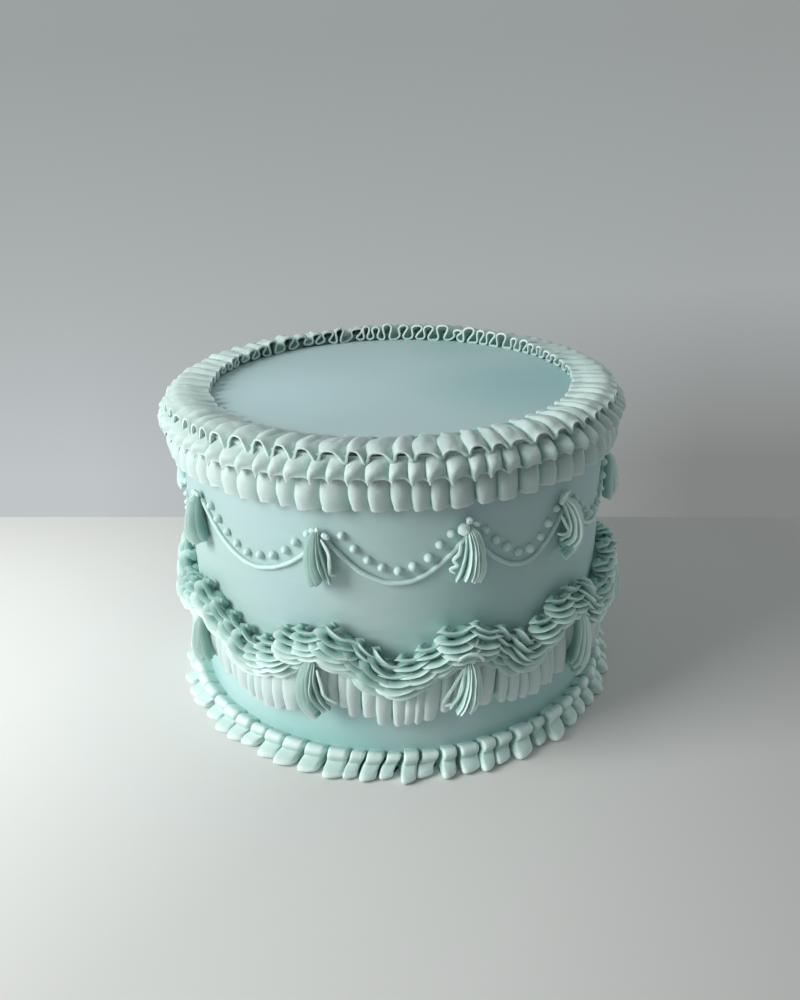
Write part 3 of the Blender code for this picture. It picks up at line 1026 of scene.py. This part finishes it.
def beadPlaces(left, right, offset):
    # even steps along a line that runs at the offset above the string
    track = []
    steps = 240
    for number in range(steps + 1):
        bearing = left + (right - left) * number / steps
        height = stringHeight(bearing, left, right)
        slope = stringHeight(bearing + 0.05, left, right) - stringHeight(bearing - 0.05, left, right)
        slope /= math.radians(0.1) * wall
        steep = math.hypot(1.0, slope)
        shift = math.degrees(-slope / steep * offset / wall)
        place = (bearing + shift, height + offset / steep)
        if left + beads["stop"] <= place[0] <= right - beads["stop"]:
            track.append(place)
    lengths = [0.0]
    for first, second in zip(track, track[1:]):
        run = math.radians(second[0] - first[0]) * wall
        lengths.append(lengths[-1] + math.hypot(run, second[1] - first[1]))
    count = round(lengths[-1] / beads["pitch"])
    chosen = []
    for number in range(count + 1):
        goal = lengths[-1] * number / count
        nearest = min(range(len(track)), key=lambda index: abs(lengths[index] - goal))
        chosen.append(track[nearest])
    return chosen


def makeBeads(ties):
    # one drop: a ball with a flattened foot and its tip drawn out a little
    drop = addBall("drop", 1.0)
    for vertex in drop.data.vertices:
        if vertex.co.z < 0.0:
            vertex.co.z *= 0.7
        else:
            vertex.co.z += 0.16 * vertex.co.z ** 6
    # painted highlight: paler towards the tip, which faces away from the wall
    paintLightLevels(drop, [0.5 + 0.35 * max(vertex.co.z, 0.0) for vertex in drop.data.vertices])
    draw = random.Random(beads["seed"])
    stray = beads["stray"]
    lean = beads["tip"]
    pieces = []
    for number, (left, right) in enumerate(zip(ties, ties[1:])):
        offset = beads["offsets"][number % len(beads["offsets"])]
        for bearing, height in beadPlaces(left, right, offset):
            size = beads["radius"] * draw.uniform(*beads["sizes"])
            twin = copyOf(drop)
            facing = turnBy(bearing, "Z") @ turnBy(90.0, "X")
            tip = turnBy(draw.uniform(-lean, lean), "X")
            tip = tip @ turnBy(draw.uniform(-lean, lean), "Y")
            bearing += math.degrees(draw.uniform(-stray, stray) / wall)
            middle = spot(bearing, wall + size * 0.30, height + draw.uniform(-stray, stray))
            twin.data.transform(Matrix.Translation(middle) @ facing @ tip @ Matrix.Scale(size, 4))
            pieces.append(twin)
    bpy.data.objects.remove(drop)
    piece = joinAll("beads", pieces)
    print("beads done")
    return dress(piece, stringIcing, "mint_icing", "cake")


# shells: short fat lengths of ribbed icing, each one's head over the tail of the one before

shell = {
    "kinds": 8,
    "seed": 300,
    "ribs": 6,
    "tall": 5.6,            # millimetres from the middle to the outer ribs
    "head": -4.9,           # millimetres along the wall where the ribs start
    "deep": (3.4, 4.5),     # millimetres off the wall: of the outer ribs, and how much more in the middle
    "ribHigh": 0.0022,
    "ribHalf": 0.00098,
    "ribTip": 0.6,
    "core": ((0.4, -0.6, 2.0), (4.9, 5.2, 4.8)),
    "shift": 2.6,           # degrees from a shell's place on the swag to its middle
}
bed = {
    "around": 12,
    "stations": 40,
    "tall": 0.0034,
    "deep": 0.0042,
}


def modelShell(blank, kind):
    # ribs side by side over a core: each starts near the wall, turns over its prow and runs to the right;
    # on the first kinds, for where the swag falls, the upper ribs start in a hook
    draw = random.Random(shell["seed"] + kind)
    hooked = kind < shell["kinds"] // 2
    bow = -0.8 if hooked else 1.1
    outer, more = shell["deep"]
    core = addBall("core", 0.001)
    middle, sizes = shell["core"]
    core.data.transform(Matrix.Translation(Vector(middle) * 0.001) @ Matrix.Diagonal((*sizes, 1.0)))
    # painted shade: the core between the ribs is dark
    paintLightLevels(core, [0.05 for vertex in core.data.vertices])
    pieces = [core]
    for number in range(shell["ribs"]):
        down = number / (shell["ribs"] - 1)
        y = shell["tall"] * (1.0 - 2.0 * down) + draw.uniform(-0.45, 0.45)
        hook = (1.0 - down) * (1.0 if hooked else 0.5)
        z = outer + more * math.cos(math.pi / 2.0 * min(abs(y) / 7.0, 1.0))
        left = shell["head"] - 0.6 * math.sin(math.pi * down) + draw.uniform(-1.1, 0.9)
        points = (
            (left + 2.0, y + 0.2 + 0.5 * hook, 1.0),
            (left - 0.8, y + 0.4 + 1.1 * hook, 0.60 * z),
            (left + 0.3, y + 0.1 + 0.3 * hook, 0.97 * z),
            (left + 4.0, y - 0.5 - 0.6 * hook, z),
            (left + 7.8, 0.86 * y - 0.4 + 0.3 * bow, z - 1.2),
            (left + 11.4, 0.40 * y + bow, 2.6),
        )
        turn = y / 7.0 * 0.95
        level = Vector((0.0, math.cos(turn), -math.sin(turn)))
        pieces.append(rib(blank, points, level, shell, draw, shell["seed"] + 10 + 10 * kind + number))
    return joinAll("shell", pieces)


def shapeBed(blank, left, right):
    # the line of icing under a swag's shells, painted in full shade
    def path(share):
        bearing = blendOf(share, left + 1.0, right - 1.0)
        return Vector((math.radians(bearing) * wall, garlandHeight(bearing, left, right) - 0.0006, 0.0002))

    def outline(share, turn):
        if turn is None:
            return 0.0, 0.0, 0.0
        return bed["deep"] * math.cos(turn), bed["tall"] * math.sin(turn), 0.0

    piece = shapeTube(blank, path, outline)
    bendOnWall(piece, 0.0, 0.0)
    return piece


def makeShells(number, left, right, kinds, bedBlank):
    length = math.hypot(math.radians(right - left) * wall, 2.6 * (garland["tie"] - garland["low"]))
    count = max(3, round(length / garland["shellPitch"]))
    span = right - left - 2.0 * garland["margin"]
    places = unevenSteps(count, span, garland["shellSpread"], garland["seed"] + number)
    draw = random.Random(garland["seed"] + 100 + number)
    half = len(kinds) // 2

    def stray(name):
        return draw.uniform(-garland[name], garland[name])

    pieces = [shapeBed(bedBlank, left, right)]
    for index in range(count):
        bearing = left + garland["margin"] + places[index] + shell["shift"]
        climb = garlandHeight(bearing + 1.5, left, right) - garlandHeight(bearing - 1.5, left, right)
        slope = max(min(math.atan2(climb, math.radians(3.0) * wall), 1.0), -1.0)
        rising = 1 if slope + draw.uniform(-0.15, 0.15) > -0.05 else 0
        twin = copyOf(kinds[rising * half + draw.randrange(half)])
        follow = garland["fallTilt"]
        if rising:
            follow = blendOf(softStep(bearing % 360.0, 0.0, 30.0), *garland["riseTilt"])
        tilt = slope * follow + stray("tiltStray")
        height = garlandHeight(bearing, left, right) + stray("heightStray")
        bendOnWall(twin, bearing, height, stray("outStray"), tilt, draw.uniform(*garland["sizes"]))
        pieces.append(twin)
    piece = joinAll("shells%02d" % number, pieces)
    makeConsistent(piece)
    return dress(piece, mintIcing, "mint_icing", "shell_garland_%02d" % number)


# tassels: ridges that fan out below a small knot; each is piped a little differently

tassel = {
    "ribs": 6,
    "wide": 3.1,            # millimetres, half the width of the fan
    "deep": 4.3,
    "lifts": (1.2, 2.2, 2.2, 1.4),      # how far its way runs off the wall, from the knot down
    "coreShare": 0.80,
    "coreEnd": 0.95,
    "ribHigh": 0.0021,
    "ribHalf": 0.0010,
    "ribTip": 0.12,
    "thread": 0.00062,
}
# for each kind, in millimetres from its joint: the way of the fan, its knots and its loose threads
upperShapes = (
    (((0.0, 0.0), (-0.6, -7.0), (-1.0, -14.0), (1.5, -18.5)),
     ((-0.8, 0.9, 2.2, 1.5, 1.0, 30.0), (0.9, 0.8, 1.8, 1.3, 0.8, -30.0)),
     ()),
    (((-0.4, 0.2), (-1.4, -6.0), (-0.6, -12.0), (1.0, -18.6)),
     ((-1.6, 0.4, 2.0, 1.2, 0.9, 20.0), (0.2, 0.9, 2.2, 1.0, 0.7, 80.0), (2.9, -1.4, 1.8, 1.6, 1.0, -40.0)),
     (((1.4, -1.6, 3.0), (4.4, -6.0, 4.4), (4.6, -11.0, 4.6), (4.4, -14.0, 4.0), (6.0, -14.8, 3.0)),)),
    (((0.0, 0.4), (1.4, -6.0), (2.4, -12.0), (-1.6, -20.0)),
     ((-1.9, 0.2, 2.4, 2.1, 1.9, 55.0), (0.2, 2.8, 2.0, 1.4, 1.1, 88.0), (2.8, 1.2, 1.6, 1.5, 0.9, -35.0)),
     (((-3.0, -4.0, 3.0), (-3.4, -8.0, 3.0), (-5.2, -10.6, 2.4), (-4.2, -12.4, 3.2), (-6.2, -14.0, 2.2),
       (-4.6, -15.6, 2.8)),)),
    (((-1.2, 1.0), (3.4, -5.0), (6.4, -16.0), (-2.2, -18.0)),
     ((-1.6, 1.2, 1.8, 2.6, 1.2, 62.0), (1.4, 2.2, 1.4, 1.6, 0.8, 20.0)),
     (((-3.0, -4.6, 2.4), (-1.2, -8.6, 3.0), (0.4, -11.6, 3.4), (-1.6, -12.6, 3.0), (-4.4, -11.4, 2.0)),)),
    (((0.0, 0.0), (-2.6, -6.0), (-3.0, -15.0), (2.2, -17.8)),
     ((0.0, 0.8, 2.2, 1.6, 1.0, 10.0),),
     ()),
)
lowerShapes = (
    (((0.2, 0.0), (-2.0, -8.0), (-2.4, -16.0), (1.6, -20.6)),
     ((0.0, 0.8, 2.4, 1.6, 1.1, 70.0),),
     ()),
    (((0.4, 0.0), (-2.4, -8.0), (-3.2, -16.0), (3.2, -21.6)),
     ((0.2, 0.6, 2.6, 1.8, 1.2, 84.0),),
     (((2.2, -3.0, 3.4), (3.6, -9.0, 4.0), (4.6, -13.6, 3.8), (8.2, -17.0, 2.4)),)),
    (((0.6, -0.6), (1.0, -8.0), (1.2, -14.0), (-2.8, -21.4)),
     ((0.3, 1.4, 2.8, 2.6, 1.5, 86.0), (1.4, -0.6, 3.4, 1.4, 1.0, 70.0), (-0.8, 3.4, 3.2, 1.5, 0.8, 10.0)),
     (((-1.0, -3.0, 2.6), (-4.6, -10.0, 2.6), (-8.6, -18.6, 1.6)),
      ((-0.6, -3.0, 3.0), (-3.0, -12.0, 3.6), (-4.2, -17.0, 3.0), (-7.6, -18.8, 2.0)),
      ((-4.2, 0.4, 4.6), (-3.4, 3.2, 6.2), (-1.0, 4.6, 6.8), (1.6, 3.8, 6.8), (3.4, 1.6, 6.0),
       (4.4, -0.8, 4.6)))),
    (((0.8, 1.0), (1.6, -8.0), (2.8, -19.0), (-5.4, -22.0)),
     ((0.0, 1.2, 2.4, 1.4, 1.0, 70.0), (2.8, 0.4, 2.0, 1.3, 1.0, 100.0)),
     ()),
    (((0.0, 0.0), (1.0, -8.0), (0.4, -15.0), (-1.6, -20.6)),
     ((0.2, 0.8, 2.4, 1.6, 1.1, 90.0),),
     ()),
)
# height, distance off the wall, and degrees that the tassels hang off their joints, from the left of the
# front; the lower ones at the back hang at their joints
tasselRows = {
    "upper": {"top": 0.0962, "out": 0.0003, "shapes": upperShapes, "seed": 400,
              "shifts": (-1.2, -1.2, -0.6, -1.6, 0.0) * 2},
    "lower": {"top": 0.0490, "out": 0.0046, "shapes": lowerShapes, "seed": 500,
              "shifts": (0.0, -3.4, -1.6, 2.6, 0.0) + (0.0,) * 5},
}


def tasselSwell(share):
    return 0.20 + 0.80 * min(share / 0.85, 1.0) ** 0.75


def makeTassel(level, row, number, tie, ribBlank, plainBlank):
    fanWay, knots, threads = row["shapes"][(number - 1) % len(row["shapes"])]
    seed = row["seed"] + number
    draw = random.Random(seed)
    way = [Vector((x, y, lift)) for (x, y), lift in zip(fanWay, tassel["lifts"])]
    coreEnd = tassel["coreEnd"]

    def fanPoint(share, side):
        ahead = pulledCurve(way, min(share + 0.02, 1.0)) - pulledCurve(way, max(share - 0.02, 0.0))
        ahead.normalize()
        aside = Vector((-ahead.y, ahead.x, 0.0))
        swell = tasselSwell(share)
        out = tassel["deep"] * swell * math.cos(side * 1.1) * (1.0 - 0.22 * softStep(share, 0.6, 1.0))
        return pulledCurve(way, share) + aside * (tassel["wide"] * swell * side) + Vector((0.0, 0.0, out))

    def corePath(share):
        return pulledCurve(way, share * coreEnd) * 0.001

    def coreOutline(share, turn):
        if turn is None:
            # painted shade: the core between the ribs is dark
            return 0.0, 0.0, 0.05
        size = tasselSwell(share * coreEnd) * 0.001 * (1.0 - softStep(share, 0.90, 1.0) * 0.6)
        deep = tassel["deep"] * tassel["coreShare"] * size
        return deep * math.cos(turn), tassel["wide"] * size * math.sin(turn), 0.05

    pieces = [shapeTube(plainBlank, corePath, coreOutline)]
    for index in range(tassel["ribs"]):
        side = 2.0 * index / (tassel["ribs"] - 1) - 1.0 + draw.uniform(-0.08, 0.08)
        end = 1.02 - draw.uniform(0.0, 0.11) - 0.05 * math.cos(side * 1.5)
        wander = draw.uniform(-0.10, 0.10)
        points = [fanPoint(end * step / 6.0, side + wander * math.sin(step * 1.4)) for step in range(7)]
        turn = side * 0.5
        across = Vector((math.cos(turn), 0.0, -math.sin(turn)))
        pieces.append(rib(ribBlank, points, across, tassel, draw, seed + 7 * index))
    pieces += [knot(plainBlank, place, seed + 3 * count) for count, place in enumerate(knots)]
    pieces += [thread(plainBlank, points, tassel["thread"], seed + 5 * count)
               for count, points in enumerate(threads)]
    piece = joinAll("%sTassel%02d" % (level, number), pieces)
    bendOnWall(piece, tie + row["shifts"][number - 1], row["top"], row["out"])
    makeConsistent(piece)
    return dress(piece, mintIcing, "mint_icing", "%s_tassel_%02d" % (level, number))


# border: leaves of two lobes, each one's crest overlapping the one before

border = {
    "leaves": 71,
    "spread": 0.24,
    "seed": 51,
    "steps": 20,
    "lean": -1.2,
    "curl": 0.9,
    "toe": 0.14,            # how much the toes are rounded
    "rough": 0.00022,
}
# section of a crest, from under the toe up to the wall: metres off the wall, height, share of lean
leafSection = (
    (0.0080, 0.0000, 1.0), (0.0098, 0.0006, 1.0), (0.0106, 0.0015, 1.0), (0.0104, 0.0025, 0.95),
    (0.0094, 0.0034, 0.85), (0.0080, 0.0041, 0.75), (0.0067, 0.0046, 0.6), (0.0060, 0.0050, 0.5),
    (0.0060, 0.0055, 0.42), (0.0065, 0.0062, 0.35), (0.0066, 0.0071, 0.2), (0.0062, 0.0082, 0.1),
    (0.0052, 0.0090, 0.05), (0.0040, 0.0092, 0.0), (0.0029, 0.0087, 0.0), (0.0018, 0.0077, 0.0),
    (-0.0004, 0.0070, 0.0), (-0.0004, 0.0000, 0.0),
)
leafHighlightCorners = (2, 3, 11, 12)     # the corners of that section that get a painted highlight
# one leaf round the foot: place along it and how far it stands out, as shares
leafFold = ((0.06, 0.00), (0.12, 0.25), (0.12, 0.86), (0.20, 1.04),
            (0.42, 1.00), (0.68, 0.94), (0.91, 0.86), (0.97, 0.30))


def makeBorder():
    leaves = border["leaves"]
    steps = border["steps"]
    starts = unevenSteps(leaves, 360.0, border["spread"], border["seed"])
    draw = random.Random(border["seed"] + 1)
    depths = [draw.uniform(0.82, 1.1) for _ in range(leaves)]
    curls = [draw.uniform(-1.0, 1.0) for _ in range(leaves)]

    def shape(station, corner):
        leaf = min(station // steps, leaves - 1)
        share = station / steps - leaf
        out, height, leaning = leafSection[corner]
        along, swell = throughPoints(leafFold, share * len(leafFold), True)
        swell = max(swell, 0.0)
        depth = between(depths, leaf + share)
        curl = between(curls, leaf + share)
        reach = blendOf(swell, 0.12, depth)
        tall = blendOf(min(swell, 1.0), 0.55, 0.4 + 0.6 * depth)
        tongue = 1.0 - border["toe"] * leaning * (2.0 * min(max(along, 0.0), 1.0) - 0.9) ** 2
        bearing = pleatAt(starts, leaf + along, True) + (border["lean"] + border["curl"] * curl) * leaning
        rough = noise.noise(spot(bearing, wall + out, height) * 300.0) * border["rough"]
        raised = 0.0 if height == 0.0 else max(height * tall + rough, 0.0)
        # painted light: pale where a leaf stands out, with a painted highlight on its crest corners
        paintedLight = 0.08 + 0.48 * min(swell, 1.0) + (0.3 if corner in leafHighlightCorners else 0.0)
        return bearing, wall + max(out * reach * tongue, -0.0004) + rough, raised, paintedLight

    piece = sweptRing("border", leaves * steps, len(leafSection), shape)
    print("border done")
    return dress(piece, mintIcing, "mint_icing", "base_border")


# camera, floor and light

view = {
    "place": (0.0, -0.32875, 0.21426),
    "pitch": 0.41299,       # radians down from level, to the right and round
    "yaw": 0.00712,
    "roll": -0.02635,
    "lens": 29.88,
    "sensor": 36.0,
}
room = {
    "floorSize": 6.0,
    "floorEdge": 0.1341,      # metres from the cake's axis to the far edge of the floor
    "edgeTurn": -4.0,
    # painted light on the floor: it pales towards a spot at the left, where the light falls; metres from it
    # and how pale
    "paintedLightSpot": (-0.23, -0.02, 0.0),
    "floorPaintedLight": ((0.0, 0.92), (0.08, 0.87), (0.22, 0.67), (0.30, 0.66), (0.38, 0.57), (0.46, 0.50)),
    "wallPlace": (0.0, 0.9, 0.3),
    "wallSize": 3.0,
    "cardPlace": (0.72, -0.62, 0.30),
    "cardTurn": -42.0,
    "lampsAim": (0.0, 0.0, 0.06),
    "background": (0.375, 0.392, 0.397),
    "backgroundStrength": 0.88,
    # colours of the far wall's painted light, from low to high, at its left and right end
    "wallLow": -0.27,
    "wallHigh": 0.33,
    "wallReach": 0.48,
    "wallLeft": ((0.53, 0.56, 0.58), (0.42, 0.456, 0.456), (0.33, 0.36, 0.36)),
    "wallRight": ((0.225, 0.235, 0.228), (0.37, 0.392, 0.397), (0.31, 0.332, 0.33)),
}
# name, place, size, watts and colour
lamps = (
    ("window", (-0.66, -0.32, 0.46), 0.42, 6.6, (1.0, 1.0, 0.99)),
    ("bounce", (0.70, 0.22, 0.22), 0.40, 0.8, (0.98, 1.0, 0.98)),
)


def placeCamera():
    pitch = view["pitch"]
    yaw = view["yaw"]
    roll = view["roll"]
    forward = Vector((math.sin(yaw) * math.cos(pitch), math.cos(yaw) * math.cos(pitch), -math.sin(pitch)))
    right = Vector((math.cos(yaw), -math.sin(yaw), 0.0))
    up = right.cross(forward)
    rolledRight = right * math.cos(roll) + up * math.sin(roll)
    rolledUp = -right * math.sin(roll) + up * math.cos(roll)
    data = bpy.data.cameras.new("camera")
    data.lens = view["lens"]
    data.sensor_width = view["sensor"]
    camera = addObject("camera", data)
    turn = Matrix((rolledRight, rolledUp, -forward)).transposed().to_4x4()
    camera.matrix_world = Matrix.Translation(view["place"]) @ turn
    bpy.context.scene.camera = camera


def placeFloor():
    size = room["floorSize"]
    floor = addPrimitive("floor", bpy.ops.mesh.primitive_plane_add, size=size)
    editAll(floor, bpy.ops.transform.translate, value=(0.0, room["floorEdge"] - size / 2.0, 0.0))
    floor.rotation_euler.z = math.radians(room["edgeTurn"])
    material, tree, shader = newMaterial("paleFloor")
    place = addNode(tree, "TexCoord", "Object", {})
    away = addNode(tree, "VectorMath", "Value", {0: place, 1: room["paintedLightSpot"]}, operation="DISTANCE")
    stops = [(reach, (tint, tint * 1.008, tint * 0.985)) for reach, tint in room["floorPaintedLight"]]
    setInputs(tree, shader, {"Base Color": addRamp(tree, away, stops), "Roughness": 0.75})
    floor.data.materials.append(material)


def placeBackdrop():
    # a far wall that glows with painted light: brighter at the lower left, where the light falls, and darker
    # at the lower right, in painted shadow of the cake
    glowingWall = addPrimitive("backdrop", bpy.ops.mesh.primitive_plane_add, size=room["wallSize"],
                           location=room["wallPlace"], rotation=(math.pi / 2.0, 0.0, 0.0))
    bpy.ops.object.transform_apply(location=True, rotation=True, scale=True)
    material, tree, shader = newMaterial("glowingWall")
    place = addNode(tree, "TexCoord", "Object", {})
    height = addNode(tree, "SeparateXYZ", "Z", {"Vector": place})
    side = addNode(tree, "SeparateXYZ", "X", {"Vector": place})
    upward = addNode(tree, "MapRange", "Result",
                     {"Value": height, "From Min": room["wallLow"], "From Max": room["wallHigh"]})
    across = addNode(tree, "MapRange", "Result",
                     {"Value": side, "From Min": -room["wallReach"], "From Max": room["wallReach"]})
    left, right = [addRamp(tree, upward, tuple(zip((0.0, 0.45, 1.0), colours)))
                   for colours in (room["wallLeft"], room["wallRight"])]
    paintedGlow = addNode(tree, "MixRGB", "Color", {"Fac": across, "Color1": left, "Color2": right})
    setInputs(tree, shader, {"Emission Color": paintedGlow, "Emission Strength": 1.0,
                             "Base Color": (0.0, 0.0, 0.0, 1.0), "Specular IOR Level": 0.0})
    glowingWall.data.materials.append(material)


def placeFlag():
    # a dark card off to the right that keeps the room's light off that side
    card = addPrimitive("flag", bpy.ops.mesh.primitive_plane_add, size=1.0,
                        location=room["cardPlace"], rotation=(0.0, math.pi / 2.0, 0.0))
    bpy.ops.object.transform_apply(location=False, rotation=True, scale=True)
    card.rotation_euler.z = math.radians(room["cardTurn"])
    material, tree, shader = newMaterial("darkCard")
    setInputs(tree, shader, {"Base Color": (0.03, 0.03, 0.03, 1.0), "Roughness": 0.9})
    card.data.materials.append(material)


def placeLights():
    for name, place, size, power, colour in lamps:
        data = bpy.data.lights.new(name, "AREA")
        data.shape = "SQUARE"
        data.size = size
        data.energy = power
        data.color = colour
        light = addObject(name, data)
        light.location = place
        aim = Vector(room["lampsAim"]) - Vector(place)
        light.rotation_euler = aim.to_track_quat("-Z", "Y").to_euler()
    world = bpy.data.worlds.new("room")
    world.use_nodes = True
    sky = world.node_tree.nodes["Background"]
    sky.inputs["Color"].default_value = (*room["background"], 1.0)
    sky.inputs["Strength"].default_value = room["backgroundStrength"]
    bpy.context.scene.world = world
    bpy.context.scene.view_settings.view_transform = "Standard"


def makeGarland(ties, ribBlank):
    bedBlank = blankTube(bed["around"], bed["stations"])
    kinds = [modelShell(ribBlank, kind) for kind in range(shell["kinds"])]
    for number, (left, right) in enumerate(zip(ties, ties[1:]), 1):
        makeSkirt(number, left, right)
        makeShells(number, left, right, kinds, bedBlank)
    for kind in kinds + [bedBlank]:
        bpy.data.objects.remove(kind)
    print("garland done")


def makeTassels(ties, ribBlank, plainBlank):
    for number, tie in enumerate(ties[:-1], 1):
        for level, row in tasselRows.items():
            makeTassel(level, row, number, tie, ribBlank, plainBlank)
    print("tassels done")


def build():
    ties = tieBearings()
    placeCamera()
    placeFloor()
    placeBackdrop()
    placeFlag()
    placeLights()
    makeCoat()
    makeStrings(ties)
    makeBeads(ties)
    makeTopRuffle()
    makeRuffleBed()
    makeSideRuffle("upperRuffle", upperRuffle, "side_ruffle_upper")
    makeSideRuffle("lowerRuffle", lowerRuffle, "side_ruffle_lower")
    ribBlank = blankTube(*ribCounts)
    makeGarland(ties, ribBlank)
    plainBlank = blankTube(*plainCounts)
    makeTassels(ties, ribBlank, plainBlank)
    bpy.data.objects.remove(ribBlank)
    bpy.data.objects.remove(plainBlank)
    makeBorder()


build()
